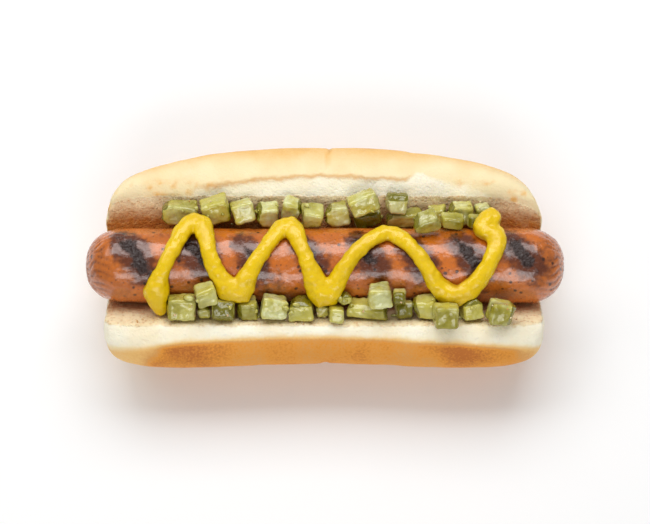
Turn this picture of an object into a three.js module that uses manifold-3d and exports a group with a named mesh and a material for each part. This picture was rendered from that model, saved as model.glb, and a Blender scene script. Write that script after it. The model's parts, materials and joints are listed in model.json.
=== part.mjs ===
// A hot dog: a grilled sausage in a side-cut bun that stands on its uncut side, with a row of diced
// pickle down each side of the sausage and a zigzag of mustard over the top.
// Millimetres. +X runs along the bun, +Y towards the half with the domed crust, +Z up from the table.
// The group's origin is under the middle of the whole, on the plane that the bun rests on.

import * as THREE from "three";
import { ConvexGeometry } from "three/addons/geometries/ConvexGeometry.js";
import { mergeVertices } from "three/addons/utils/BufferGeometryUtils.js";
import Module from "manifold-3d";

const wasm = await Module();
wasm.setup();

// Driving dimensions
const BUN_LENGTH = 152;
const BUN_OFF_CENTRE = -0.3;
const SAUSAGE_LENGTH = 165.4;
const SAUSAGE_RADIUS = 13;
const SAUSAGE_CAP = 12.5;
const AXIS_HEIGHT = 28;
const LIP_REACH = 23.4;
const LIP_RISE = 5.6;
const BEAD_HALF_WIDTH = 2.85;
const BEAD_HALF_HEIGHT = 2.5;

// The clearance that every piece keeps from the next
const GAP = 0.3;

// The flat crust's waist: how far it is drawn in at the middle, and the length of one wave as a share
// of half the bun.
const WAIST = 0.9;
const WAIST_WAVE = 1.5;

// The sausage's ends: how full the dome is, and the folds of the casing that run up to each tip
const DOME_FULLNESS = 0.42;
const FOLDS = 9;
const FOLD_DEPTH = 0.035;
const SAUSAGE_WAVE = { height: 0.065, length: 9 };

// The pickles' knife-cut edges, how far a face of skin swells, how uneven the cutting is and how far
// along the bun a piece may slip as it settles.
const EDGE = 0.55;
const SKIN_BULGE = 0.16;
const UNEVEN = 0.1;
const SLIP = 1.6;
const DROP_FROM = 12;
const SEED = 7;

// The bead's underside reaches deeper than its top, to bed on what it lies on. Legs of the zigzag run
// past each turn by this share of the whole path.
const BEAD_UNDERSIDE = 1.3;
const LEG_OVERLAP = 0.013;

// The bun's outline at its middle, from the rest on the table up the domed crust, over the lips of the
// cut and down the flat crust: y, height above the table, and how blunt the bun's ends are there.
const BUN_OUTLINE = [
  [2, -1.4, 0.6],
  [16, -1.1, 0.5],
  [25, 0.8, 0.4],
  [33, 4.6, 0.2],
  [39.4, 10, 0.05],
  [43.4, 17, 0],
  [44.4, 24.5, 0],
  [43, 30, 0],
  [39.6, 34.2, 0.1],
  [35, 36.3, 0.25],
  [30.4, 36.6, 0.6],
  [26.5, 35.5, 0.95],
  [LIP_REACH, AXIS_HEIGHT + LIP_RISE, 1],
  [12, 34.4, 1],
  [-12, 34.4, 1],
  [-LIP_REACH, AXIS_HEIGHT + LIP_RISE, 1],
  [-28, 31.9, 1],
  [-32, 28.7, 1],
  [-34.5, 24.6, 1],
  [-34.2, 20.4, 1],
  [-30.6, 15, 1],
  [-25.2, 8.6, 0.9],
  [-19.6, 2.4, 0.8],
  [-13, -1.2, 0.7],
];
const ROUND_END = { power: 2, root: 0.2 };
const BLUNT_END = { power: 9, root: 0.11 };

// The pickle pieces in the order that they were laid: where along the bun, the side of the sausage (1 is
// the domed half), how far from the sausage's middle it was let go, its size along the bun, up the cut
// face and off it, which face is skin, and its turn in degrees about the same three directions.
const PICKLES = [
  { x: -50.4, side: 1, reach: 17, size: [12, 7.2, 7], skin: "start", turn: [4, 0, -4] },
  { x: -38.2, side: 1, reach: 17, size: [9, 8.2, 7.6], skin: "", turn: [6, 8, 14] },
  { x: -28.6, side: 1, reach: 17, size: [7.4, 7, 6.8], skin: "", turn: [-8, 6, 16] },
  { x: -20, side: 1, reach: 17, size: [7, 7.4, 6.6], skin: "start", turn: [10, 8, -6] },
  { x: -11.8, side: 1, reach: 19, size: [6.4, 7.2, 5.8], skin: "end", turn: [4, -10, -16] },
  { x: -4.4, side: 1, reach: 15, size: [7, 6.2, 7], skin: "", turn: [18, 0, -3] },
  { x: 4.3, side: 1, reach: 17, size: [7.6, 7.2, 6.6], skin: "start", turn: [-4, 6, 6] },
  { x: 14.6, side: 1, reach: 16, size: [9.4, 5.2, 5], skin: "face", turn: [10, 0, 14] },
  { x: 27.6, side: 1, reach: 16, size: [12.4, 5.2, 5], skin: "start", turn: [14, 0, 6] },
  { x: 11.6, side: 1, reach: 18.4, size: [9.4, 6.4, 6], skin: "", turn: [0, 6, 20] },
  { x: 25, side: 1, reach: 20, size: [6.8, 6.4, 6], skin: "up", turn: [0, 4, -4] },
  { x: 38.8, side: 1, reach: 18, size: [6.2, 6.2, 6], skin: "", turn: [0, -8, 10] },
  { x: 46.8, side: 1, reach: 18, size: [7.8, 7, 6.8], skin: "start", turn: [0, 4, 3] },
  { x: 34.6, side: 1, reach: 10.5, size: [7.8, 6.6, 5.8], skin: "start", turn: [24, 12, 12] },
  { x: 43.8, side: 1, reach: 11.5, size: [7.6, 4.6, 4.6], skin: "", turn: [18, 0, -8] },
  { x: 54.2, side: 1, reach: 17, size: [5.6, 6.6, 5.8], skin: "end", turn: [0, 10, 8] },
  { x: 50.4, side: 1, reach: 12, size: [4.6, 4.4, 4.2], skin: "face", turn: [10, 0, -12] },
  { x: -49.2, side: -1, reach: 17, size: [9.4, 8, 7.6], skin: "", turn: [2, 0, 2] },
  { x: -17.4, side: -1, reach: 17, size: [7.8, 7.8, 7.2], skin: "", turn: [8, -6, 6] },
  { x: -34.6, side: -1, reach: 18, size: [7.4, 7.2, 6.8], skin: "up", turn: [6, 0, -2] },
  { x: -26.2, side: -1, reach: 17, size: [6.4, 7, 6.4], skin: "end", turn: [-6, 4, -5] },
  { x: -8.4, side: -1, reach: 17, size: [7.6, 7.6, 7], skin: "face", turn: [4, 4, -6] },
  { x: -2.3, side: -1, reach: 18, size: [4.2, 5.2, 4.4], skin: "face", turn: [0, 6, 8] },
  { x: 3.9, side: -1, reach: 19, size: [4.8, 6, 4.8], skin: "", turn: [0, -4, 6] },
  { x: 13.8, side: -1, reach: 18, size: [13, 6.2, 5.4], skin: "up", turn: [-6, 0, -9] },
  { x: 7, side: -1, reach: 15, size: [3.6, 3.8, 3.4], skin: "face", turn: [0, 8, 12] },
  { x: 27, side: -1, reach: 18, size: [6, 5.6, 5.2], skin: "up", turn: [8, 0, 8] },
  { x: 32.8, side: -1, reach: 17, size: [7.4, 6.8, 6.8], skin: "end", turn: [-8, 10, -12] },
  { x: 40.6, side: -1, reach: 22, size: [8, 7.2, 7.2], skin: "", turn: [4, -2, 6] },
  { x: 49.8, side: -1, reach: 16, size: [6.8, 7, 6.6], skin: "face", turn: [6, 8, 14] },
  { x: 58.6, side: -1, reach: 20, size: [8, 8, 7.2], skin: "start", turn: [4, -14, 8] },
  { x: -41.5, side: -1, reach: 18, size: [4, 4.6, 4.2], skin: "face", turn: [0, 4, 4] },
  { x: -40.4, side: -1, reach: 15, size: [6.4, 6.6, 6.2], skin: "", turn: [-6, 12, 12] },
  { x: 18.6, side: -1, reach: 15, size: [7.4, 7.2, 6.8], skin: "", turn: [-4, 2, 5] },
  { x: 24.8, side: -1, reach: 15, size: [4.4, 5.8, 4.6], skin: "up", turn: [4, 4, -6] },
];

// The zigzag of mustard: each stop's place along the bun, its angle round the sausage in degrees from the
// top towards the domed half, how far the middle of the bead lies from the sausage's axis, and how wide
// the bead is there against its plain width. A stop marked true is a turn of the zigzag.
const MUSTARD = [
  [-56.6, -90, 18.6, 0.95, true],
  [-56.7, -73, 16.4, 1.3],
  [-57.4, -57, 15, 1.65],
  [-56.4, -38, 14.4, 1.15],
  [-54.2, -17, 14.2, 0.9],
  [-50.6, 13.3, 14.2, 1],
  [-46.8, 42, 16.2, 1.25],
  [-43.2, 44, 16.6, 1.4, true],
  [-41, 24, 14.8, 1.1],
  [-39.2, -8.2, 14.2, 1],
  [-35.4, -38.8, 14.6, 1.2],
  [-30.1, -57, 16.8, 1.75, true],
  [-25.3, -26.4, 14.3, 1.05],
  [-20.8, 2.3, 14.2, 0.95],
  [-16, 32, 14.4, 1.1],
  [-12.6, 42, 15.8, 1.4, true],
  [-8.7, 14, 14.3, 1.05],
  [-5.4, -20.8, 14.3, 1.05],
  [0, -60, 16.8, 1.75, true],
  [3.8, -43.6, 15, 1.2],
  [7.3, -18, 14.2, 1],
  [13.5, 10, 14.2, 0.95],
  [21.8, 31, 14.5, 1.15, true],
  [30.1, 3.7, 14.2, 0.95],
  [35.3, -27.6, 14.3, 1],
  [39.1, -50, 15.2, 1.2],
  [45, -61, 16.8, 1.7, true],
  [50.5, -47, 15.4, 1.2],
  [55.6, -19.2, 14.2, 1],
  [58.6, 10, 14.3, 1.15],
  [57.8, 26, 14.8, 1.35],
  [54.6, 35, 16, 1.45, true],
  [56.4, 44, 17.8, 1.4],
  [59.2, 50, 19, 1.2, true],
];

const COLOURS = {
  bun: { color: 0xe6bd7c, roughness: 0.75 },
  sausage: { color: 0xa85a38, roughness: 0.35 },
  mustard: { color: 0xe8bd10, roughness: 0.3 },
  pickle: { color: 0x9a9c3c, roughness: 0.3 },
};

// Small helpers

function seeded(seed) {
  let state = seed;
  return () => {
    state = (state * 1664525 + 1013904223) % 4294967296;
    return state / 4294967296;
  };
}

const random = seeded(SEED);
const spread = (amount) => (random() * 2 - 1) * amount;

function bareCopy(geometry) {
  const bare = new THREE.BufferGeometry();
  bare.setAttribute("position", geometry.getAttribute("position").clone());
  if (geometry.index) bare.setIndex(geometry.index.clone());
  return bare;
}

function solidOf(geometry) {
  const merged = mergeVertices(bareCopy(geometry), 1e-4);
  return new wasm.Manifold(
    new wasm.Mesh({
      numProp: 3,
      vertProperties: new Float32Array(merged.attributes.position.array),
      triVerts: new Uint32Array(merged.index.array),
    }),
  );
}

function geometryOf(solid) {
  const mesh = solid.getMesh();
  return new THREE.BufferGeometry()
    .setAttribute("position", new THREE.BufferAttribute(new Float32Array(mesh.vertProperties), 3))
    .setIndex(new THREE.BufferAttribute(new Uint32Array(mesh.triVerts), 1));
}

const largestBody = (solid) => solid.decompose().sort((a, b) => b.volume() - a.volume())[0];

// A closed skin whose poles lie along the part. place(along, turn) gives each point: along goes from 0
// to 1 between the poles, and turn goes round from underneath towards +Y.
function skin(around, lengths, place) {
  const geometry = new THREE.SphereGeometry(1, around, lengths);
  const position = geometry.getAttribute("position");
  const uv = geometry.getAttribute("uv");
  for (let i = 0; i < position.count; i++) {
    const pole = uv.getY(i) === 0 || uv.getY(i) === 1;
    const point = place(1 - uv.getY(i), pole ? 0 : uv.getX(i) % 1);
    position.setXYZ(i, point.x, point.y, point.z);
  }
  return geometry;
}

// Turns a flat outline in (y, z), extruded along its own z, so that it runs along X.
const ALONG_X = new THREE.Matrix4().makeBasis(
  new THREE.Vector3(0, 1, 0),
  new THREE.Vector3(0, 0, 1),
  new THREE.Vector3(1, 0, 0),
);

// Sausage: a round link with domed ends, a little uneven, with the casing gathered at each tip

function sausageRadius(x) {
  const past = Math.abs(x) - (SAUSAGE_LENGTH / 2 - SAUSAGE_CAP);
  const dome = past <= 0 ? 1 : Math.max(0, 1 - (past / SAUSAGE_CAP) ** 2) ** DOME_FULLNESS;
  const wave = SAUSAGE_WAVE.height * (Math.sin(x / SAUSAGE_WAVE.length + 1) - 1);
  return (SAUSAGE_RADIUS + wave) * dome;
}

function sausagePoint(along, turn) {
  const share = 1 - 2 * along;
  const bodyShare = 0.5;
  const body = SAUSAGE_LENGTH / 2 - SAUSAGE_CAP;
  const inCap = (Math.abs(share) - bodyShare) / (1 - bodyShare);
  const distance =
    inCap <= 0
      ? (Math.abs(share) / bodyShare) * body
      : body + SAUSAGE_CAP * Math.sin((inCap * Math.PI) / 2);
  const x = Math.sign(share) * distance;
  const angle = turn * 2 * Math.PI;
  const nearTip = Math.max(0, inCap) ** 2;
  const folds = 1 - FOLD_DEPTH * nearTip * (1 + Math.cos(FOLDS * angle));
  const radius = sausageRadius(x) * folds;
  return new THREE.Vector3(x, radius * Math.sin(angle), AXIS_HEIGHT - radius * Math.cos(angle));
}

// Bun: a loaf with one rounded and one blunt side, cut open along the top to take the sausage

const outline = new THREE.CatmullRomCurve3(
  BUN_OUTLINE.map(([y, z]) => new THREE.Vector3(0, y, z)),
  true,
  "centripetal",
);
const bluntness = new THREE.CatmullRomCurve3(
  BUN_OUTLINE.map(([, , blunt]) => new THREE.Vector3(blunt, 0, 0)),
  true,
  "catmullrom",
  0,
);

const flatReach = Math.max(...BUN_OUTLINE.map(([y]) => -y));

function bunPoint(along, turn) {
  const share = Math.cos(along * Math.PI);
  const t = outline.getUtoTmapping(turn);
  const point = outline.getPoint(t);
  const blunt = THREE.MathUtils.clamp(bluntness.getPoint(t).x, 0, 1);
  const power = THREE.MathUtils.lerp(ROUND_END.power, BLUNT_END.power, blunt);
  const root = THREE.MathUtils.lerp(ROUND_END.root, BLUNT_END.root, blunt);
  const size = Math.max(0, 1 - Math.abs(share) ** power) ** root;
  const x = (share * BUN_LENGTH) / 2 + BUN_OFF_CENTRE;
  const onFlatSide = Math.min(0, point.y) / flatReach;
  const waist = WAIST * onFlatSide * Math.cos((share * 2 * Math.PI) / WAIST_WAVE);
  return new THREE.Vector3(x, (point.y - waist) * size, AXIS_HEIGHT + (point.z - AXIS_HEIGHT) * size);
}

// The cut: round under the sausage, then a straight face on each side that touches that round and
// runs out through the lip.
const SEAT_RADIUS = SAUSAGE_RADIUS + GAP;
const lip = new THREE.Vector2(LIP_REACH, LIP_RISE);
const faceLength = Math.sqrt(lip.lengthSq() - SEAT_RADIUS ** 2);
const faceAngle = Math.atan2(lip.y, lip.x) + Math.asin(SEAT_RADIUS / lip.length());
const faceSlope = new THREE.Vector2(Math.cos(faceAngle), Math.sin(faceAngle));
const faceFoot = lip.clone().addScaledVector(faceSlope, -faceLength);

function cutGeometry() {
  const pastLip = 18;
  const pastEnds = 10;
  const top = lip.clone().addScaledVector(faceSlope, pastLip);
  const footAngle = Math.atan2(faceFoot.y, faceFoot.x);
  const section = new THREE.Shape();
  section.moveTo(-top.x, top.y);
  section.lineTo(-(lip.x + faceFoot.x) / 2, (lip.y + faceFoot.y) / 2);
  section.lineTo(-faceFoot.x, faceFoot.y);
  section.absarc(0, 0, SEAT_RADIUS, -Math.PI - footAngle, footAngle, false);
  section.lineTo((lip.x + faceFoot.x) / 2, (lip.y + faceFoot.y) / 2);
  section.lineTo(top.x, top.y);
  section.closePath();
  const length = SAUSAGE_LENGTH + 2 * pastEnds;
  const geometry = new THREE.ExtrudeGeometry(section, {
    depth: length,
    steps: 22,
    curveSegments: 12,
    bevelEnabled: false,
  });
  geometry.applyMatrix4(ALONG_X);
  geometry.translate(-length / 2, 0, AXIS_HEIGHT);
  return geometry;
}

function bunSolid() {
  const loaf = solidOf(skin(72, 34, bunPoint));
  const cut = solidOf(cutGeometry());
  const table = solidOf(new THREE.BoxGeometry(BUN_LENGTH * 2, BUN_LENGTH, 20).translate(0, 0, -10));
  return largestBody(loaf.subtract(cut).subtract(table));
}

// Pickle pieces: knife-cut blocks with blunt edges, some with a rounded face of skin

function pickleGeometry({ size, skin: skinFace }) {
  const half = size.map((s) => s / 2);
  const skinAxis = { start: 0, end: 0, up: 1, face: 2 }[skinFace];
  const skinSign = skinFace === "start" ? -1 : 1;
  const bulgeReach = 0.45;
  const points = [];
  for (const sx of [-1, 1])
    for (const sy of [-1, 1])
      for (const sz of [-1, 1]) {
        const signs = [sx, sy, sz];
        const corner = signs.map((s, axis) => s * half[axis] * (1 + spread(UNEVEN)));
        if (signs[skinAxis] === skinSign) corner[skinAxis] *= 1 - 2 * SKIN_BULGE;
        for (let axis = 0; axis < 3; axis++) {
          const point = corner.map((c, other) => (other === axis ? c : c - signs[other] * EDGE));
          points.push(new THREE.Vector3(...point));
        }
      }
  if (skinAxis !== undefined)
    for (const s1 of [-1, 1])
      for (const s2 of [-bulgeReach, bulgeReach]) {
        const bulge = [0, 0, 0];
        const [across, along] = [(skinAxis + 1) % 3, (skinAxis + 2) % 3];
        bulge[skinAxis] = skinSign * half[skinAxis];
        bulge[across] = s2 * half[across];
        bulge[along] = s1 * (half[along] - EDGE);
        points.push(new THREE.Vector3(...bulge));
      }
  return new ConvexGeometry(points);
}

// The directions along the bun, up the cut face and off it, on one side of the sausage.
function faceBasis(side) {
  return new THREE.Matrix4().makeBasis(
    new THREE.Vector3(side, 0, 0),
    new THREE.Vector3(0, side * faceSlope.x, faceSlope.y),
    new THREE.Vector3(0, -side * faceSlope.y, faceSlope.x),
  );
}

function uniquePoints(geometry) {
  const position = mergeVertices(bareCopy(geometry), 1e-3).getAttribute("position");
  const pointAt = (_, i) => new THREE.Vector3().fromBufferAttribute(position, i);
  return Array.from({ length: position.count }, pointAt);
}

// How far the piece, seen along the bun, stays from the sausage's axis.
function distanceFromAxis(points, shift) {
  const flat = points.map((p) => new THREE.Vector3(0, p.y + shift.y, p.z + shift.z - AXIS_HEIGHT));
  const axis = new THREE.Vector3();
  const nearest = new THREE.Vector3();
  let least = Infinity;
  for (let i = 0; i < flat.length; i++)
    for (let j = i + 1; j < flat.length; j++) {
      new THREE.Line3(flat[i], flat[j]).closestPointToPoint(axis, true, nearest);
      least = Math.min(least, nearest.length());
    }
  return least;
}

function clearOfFace(points, shift, side) {
  return points.every((p) => {
    const y = side * (p.y + shift.y) - lip.x;
    const z = p.z + shift.z - AXIS_HEIGHT - lip.y;
    return -y * faceSlope.y + z * faceSlope.x >= GAP;
  });
}

// Lets a piece down until it rests: each small move lowers it and keeps it clear of the sausage, of
// the bun's cut face and of the pieces already there.
function settle(piece, placed) {
  const { points, solid, side } = piece;
  const shift = new THREE.Vector3(piece.x, side * piece.reach, AXIS_HEIGHT + SAUSAGE_RADIUS + DROP_FROM);
  const box = new THREE.Box3().setFromPoints(points);
  const free = (at) => {
    if (!clearOfFace(points, at, side)) return false;
    if (distanceFromAxis(points, at) < SAUSAGE_RADIUS + GAP) return false;
    const here = box.clone().translate(at);
    const near = placed.filter((other) => other.box.intersectsBox(here));
    if (!near.length) return true;
    const moved = solid.translate([at.x, at.y, at.z]);
    return near.every((other) => moved.intersect(other.grown).isEmpty());
  };
  for (const step of [0.5, 0.12]) {
    const moves = [
      [0, 0, -1],
      [0, -side * 0.6, -0.8],
      [0, side * 0.6, -0.8],
      [0.5, 0, -0.5],
      [-0.5, 0, -0.5],
    ].map((m) => new THREE.Vector3(...m).multiplyScalar(step));
    for (let count = 0; count < 300; count++) {
      const next = moves
        .map((move) => shift.clone().add(move))
        .find((at) => Math.abs(at.x - piece.x) < SLIP && free(at));
      if (!next) break;
      shift.copy(next);
    }
  }
  return shift;
}

function pickleMeshes() {
  const placed = [];
  const counts = { 1: 0, "-1": 0 };
  return PICKLES.map((row) => {
    const turned = new THREE.Matrix4()
      .multiply(faceBasis(row.side))
      .multiply(
        new THREE.Matrix4().makeRotationFromEuler(
          new THREE.Euler(...row.turn.map((degrees) => THREE.MathUtils.degToRad(degrees))),
        ),
      );
    const geometry = pickleGeometry(row).applyMatrix4(turned);
    const solid = solidOf(geometry);
    const reach = Math.min(...row.size);
    const shift = settle({ ...row, points: uniquePoints(geometry), solid }, placed);
    const grown = solid.scale((reach + 2 * GAP) / reach).translate([shift.x, shift.y, shift.z]);
    const box = new THREE.Box3().setFromBufferAttribute(geometryOf(grown).getAttribute("position"));
    placed.push({ box, grown });
    counts[row.side] += 1;
    const label = row.side > 0 ? "dome_side" : "flat_side";
    const name = `pickle_${label}_${String(counts[row.side]).padStart(2, "0")}`;
    const mesh = part(name, geometryOf(solid), "pickle");
    mesh.position.copy(shift);
    mesh.userData.grown = grown;
    return mesh;
  });
}

// Mustard: a bead laid over the sausage and the pickles, one leg of the zigzag after another

const outwards = (angle) => new THREE.Vector3(0, Math.sin(angle), Math.cos(angle));

const mustardPath = new THREE.CatmullRomCurve3(
  MUSTARD.map(([x, degrees, radius]) => {
    const out = outwards(THREE.MathUtils.degToRad(degrees));
    return new THREE.Vector3(x, 0, AXIS_HEIGHT).addScaledVector(out, radius);
  }),
  false,
  "centripetal",
);
const mustardWidths = new THREE.CatmullRomCurve3(
  MUSTARD.map(([, , , wide]) => new THREE.Vector3(wide, 0, 0)),
);

function mustardLeg(from, to) {
  return skin(12, 16, (along, turn) => {
    const t = THREE.MathUtils.lerp(from, to, along);
    const middle = mustardPath.getPoint(t);
    const ahead = mustardPath.getTangent(t);
    const out = new THREE.Vector3(0, middle.y, middle.z - AXIS_HEIGHT).normalize();
    const side = new THREE.Vector3().crossVectors(out, ahead).normalize();
    const up = new THREE.Vector3().crossVectors(ahead, side);
    const end = Math.max(0, 1 - Math.abs(2 * along - 1) ** 8) ** 0.5;
    const wide = mustardWidths.getPoint(t).x * end;
    const angle = turn * 2 * Math.PI;
    const under = Math.cos(angle) > 0 ? BEAD_UNDERSIDE : 1;
    return middle
      .addScaledVector(side, -Math.sin(angle) * BEAD_HALF_WIDTH * wide)
      .addScaledVector(up, -Math.cos(angle) * BEAD_HALF_HEIGHT * under * Math.sqrt(wide * end));
  });
}

function mustardSolid() {
  const turns = MUSTARD.flatMap((stop, i) => (stop[4] ? [i / (MUSTARD.length - 1)] : []));
  const legs = turns.slice(1).map((to, i) => {
    const from = Math.max(0, turns[i] - LEG_OVERLAP);
    return solidOf(mustardLeg(from, Math.min(1, to + LEG_OVERLAP)));
  });
  return legs.reduce((all, leg) => all.add(leg));
}

// Assembly

function part(name, geometry, finish) {
  const material = new THREE.MeshStandardMaterial({ metalness: 0, ...COLOURS[finish] });
  const mesh = new THREE.Mesh(geometry, material);
  mesh.name = name;
  return mesh;
}

const bun = bunSolid();
const sausage = solidOf(skin(40, 32, sausagePoint));
const bunMesh = part("bun", geometryOf(bun), "bun");
const sausageMesh = part("sausage", geometryOf(sausage), "sausage");
const pickles = pickleMeshes();

const fat = (SAUSAGE_RADIUS + GAP) / SAUSAGE_RADIUS;
const sausageRoom = sausage
  .translate([0, 0, -AXIS_HEIGHT])
  .scale([1, fat, fat])
  .translate([0, 0, AXIS_HEIGHT]);
const mustard = pickles.reduce(
  (bead, pickle) => bead.subtract(pickle.userData.grown),
  mustardSolid().subtract(sausageRoom).subtract(bun.translate([0, 0, GAP])).subtract(bun),
);
const mustardMesh = part("mustard", geometryOf(largestBody(mustard)), "mustard");

const whole = new THREE.Group();
whole.add(bunMesh, sausageMesh, ...pickles, mustardMesh);
const bounds = new THREE.Box3().setFromObject(whole);
whole.position.y = -(bounds.min.y + bounds.max.y) / 2;

export default whole;
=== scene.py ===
"""A hot dog: soft side-cut bun, grilled sausage, diced pickle and a zigzag of mustard."""

import json
import math
import random

import bpy
import numpy as np
from bpy.props import FloatProperty, FloatVectorProperty, IntProperty, PointerProperty
from mathutils import Matrix, Vector, noise
from mathutils.bvhtree import BVHTree

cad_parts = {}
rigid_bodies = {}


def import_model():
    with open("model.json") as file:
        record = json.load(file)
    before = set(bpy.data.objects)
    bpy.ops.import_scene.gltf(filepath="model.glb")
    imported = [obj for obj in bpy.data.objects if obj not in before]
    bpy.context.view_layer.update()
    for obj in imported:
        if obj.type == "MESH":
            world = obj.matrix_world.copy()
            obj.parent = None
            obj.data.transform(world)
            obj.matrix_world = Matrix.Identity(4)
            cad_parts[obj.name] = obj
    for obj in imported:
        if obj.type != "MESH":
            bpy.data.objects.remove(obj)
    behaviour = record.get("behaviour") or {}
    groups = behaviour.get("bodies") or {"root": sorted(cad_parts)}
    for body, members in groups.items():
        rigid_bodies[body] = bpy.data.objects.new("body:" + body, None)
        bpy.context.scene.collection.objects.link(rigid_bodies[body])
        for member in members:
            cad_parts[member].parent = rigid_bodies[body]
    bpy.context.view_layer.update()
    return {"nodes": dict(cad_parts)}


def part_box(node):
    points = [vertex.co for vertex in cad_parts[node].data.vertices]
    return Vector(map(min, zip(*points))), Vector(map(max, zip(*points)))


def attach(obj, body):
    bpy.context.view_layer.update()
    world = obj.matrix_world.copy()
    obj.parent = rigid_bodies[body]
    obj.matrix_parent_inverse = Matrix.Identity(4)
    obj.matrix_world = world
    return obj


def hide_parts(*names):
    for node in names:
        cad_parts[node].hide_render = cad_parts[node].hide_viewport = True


bl_info = {
    "name": "Hot dog",
    "version": (1, 0, 0),
    "blender": (4, 5, 0),
    "location": "3D View > Sidebar > Hot dog",
    "description": "Bakes, grills, fills and lights a hot dog over its packed solids",
    "category": "Add Mesh",
}

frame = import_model()
MM = 0.001
BODY = "root"

# The sausage's middle is where every place on the hot dog is measured from.
SAUSAGE_LOW, SAUSAGE_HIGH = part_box("sausage")
AXIS = (SAUSAGE_LOW + SAUSAGE_HIGH) / 2

# The cut's section: the seat under the sausage, and the lip that each straight face runs out to.
SEAT_RADIUS = 13.3 * MM
LIP_REACH = 23.4 * MM
LIP_RISE = 5.6 * MM
LIP_LENGTH = math.hypot(LIP_REACH, LIP_RISE)
FACE_ANGLE = math.atan2(LIP_RISE, LIP_REACH) + math.asin(SEAT_RADIUS / LIP_LENGTH)
FACE_RUN = math.cos(FACE_ANGLE)
FACE_CLIMB = math.sin(FACE_ANGLE)
FACE_LENGTH = math.sqrt(LIP_LENGTH**2 - SEAT_RADIUS**2)
FOOT_REACH = LIP_REACH - FACE_LENGTH * FACE_RUN
FOOT_RISE = LIP_RISE - FACE_LENGTH * FACE_CLIMB

# How far the torn side reaches past the lip, in millimetres along the bun and from the cut face.
DOME_TORN_EDGE = [(-56, -1.2), (-50, -0.2), (-42, 0.7), (-30, 1.3), (-22, 1.9), (-14, 2.3), (2, 2.7)]
DOME_TORN_EDGE += [(14, 2.1), (28, 2), (29.5, 2.6), (31.5, 3.6), (34, 3.4), (38, 2.2)]
DOME_TORN_EDGE += [(46, 1.2), (56, 0.2), (64, -1.2)]
FLAT_TORN_EDGE = [(-76, 8.6), (-60, 6.6), (-54, 5.6), (-47, 4.8), (-33, 4), (-22, 3.6), (2, 3.1), (26, 4)]
FLAT_TORN_EDGE += [(43, 5.2), (57, 6), (69, 7.2), (76, 9)]

# How far the domed half's lip is rounded down at its ends, in millimetres along the bun and down the face.
DOME_LIP_DROP = [(-76, 4), (-73, 1.6), (-69, 0.4), (-62, 0)]
DOME_LIP_DROP += [(54, 0), (62, 0.5), (68, 1.6), (72, 2.8), (76, 5)]

# How much longer the domed half's lip is at each end than the solid's.
DRAWN_OUT = 1.1 * MM

# How far to each side of the middle, in millimetres, one half of the bun gives way to the other.
HINGE_BLEND = 7

# Where the grill bars marked the sausage, in millimetres along it, and how darkly from 0 to 1; how much the
# marks lean; and the char value of casing that has none.
GRILL_MARKS = [(-65, 1), (-43.6, 0.95), (-25.3, 0.62), (-5, 0.7)]
GRILL_MARKS += [(13.8, 0.78), (31.4, 0.75), (49, 1), (67, 1)]
MARK_SLANT = math.atan(0.62)
UNBURNT = -1.3

# The pieces of pickle that have some skin, by number, and which way it faces: left or right in the photo, up
# the cut face, or off it.
DOME_SIDE_SKINS = {"left": (1, 4, 7, 9, 13, 14), "right": (5, 16), "up": (11,), "off": (8, 17)}
FLAT_SIDE_SKINS = {"left": (4, 11), "right": (8, 14), "up": (3, 10, 18), "off": (5, 6, 9, 13, 15)}

# Shreds of pickle that broke off, in millimetres: along the bun, across it, and size.
SHREDS = [(-46.4, -16.4, 3), (-13.6, -18.6, 2.3), (-11.4, -20, 2), (-9.8, -17.8, 1.9), (-12.6, -15.8, 1.8)]
SHREDS += [(5.4, -15.6, 2), (9, -16.8, 1.8), (23.6, -19, 1.6), (45.8, -20, 1.9), (-22.8, -19.6, 1.4)]
SHREDS += [(-6.2, 17.6, 1.8), (-23.6, 17.8, 1.5), (-8.2, 16.2, 1.4), (19.8, 18.2, 1.5), (36.4, 19, 1.4)]
SHREDS += [(51.4, 18.4, 1.5), (-44.6, 17.4, 1.6)]

# The soft lamps: degrees above level, degrees round from straight behind the hot dog with the right-hand
# side at 90, metres away, width and height in metres, and power in watts.
LAMPS = [
    ("back_softbox", 56, 0, 0.8, (0.8, 0.5), 4.8),
    ("side_softbox", 50, -62, 0.9, (0.4, 0.4), 1.0),
    ("front_fill", 38, 180, 1.0, (0.7, 0.4), 3.4),
]

# The camera looks this far above the sausage's middle in the picture.
ABOVE_MIDDLE = 1.2 * MM


def seen(red, green, blue):
    """A colour as the eye reads it, 0 to 255, as the numbers that a shader takes."""
    parts = [value / 255 for value in (red, green, blue)]
    return tuple(v / 12.92 if v <= 0.04045 else ((v + 0.055) / 1.055) ** 2.4 for v in parts)


def colour_property(name, words, colour):
    return FloatVectorProperty(
        name=name, description=words, subtype="COLOR", size=3, min=0, max=1, default=seen(*colour)
    )


def length_property(name, words, size):
    return FloatProperty(name=name, description=words, unit="LENGTH", min=0, default=size)


def smoothing_property(rounds):
    words = "Rounds of smoothing that take the flats off the solid"
    return IntProperty(name="Smoothing", description=words, min=0, default=rounds)


class BunSettings(bpy.types.PropertyGroup):
    crumb: colour_property("Crumb", "Soft inside of the bread", (248, 228, 186))
    # Crumb colour for toast, also used as painted shade deep in the cut where the sausage shades it.
    toasted: colour_property("Toasted crumb", "Crumb deep in the cut, toasted and greasy", (206, 134, 58))
    torn: colour_property("Torn side", "Fluffy side where the bun was pulled from the next", (255, 249, 228))
    pale: colour_property("Pale crust", "Crust that has barely taken colour", (247, 229, 184))
    golden: colour_property("Golden crust", "Crust on the shoulder of the dome", (240, 192, 116))
    tanned: colour_property("Tanned crust", "Crust at the ends and low on the dome", (222, 160, 86))
    brown: colour_property("Brown crust", "Flat crust that lay on the baking sheet", (230, 152, 50))
    dark: colour_property("Dark crust", "Brownest patches of the flat crust", (192, 110, 34))
    grain: length_property("Mesh size", "Spacing of the points on the bun", 0.00105)
    smoothing: smoothing_property(14)


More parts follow.
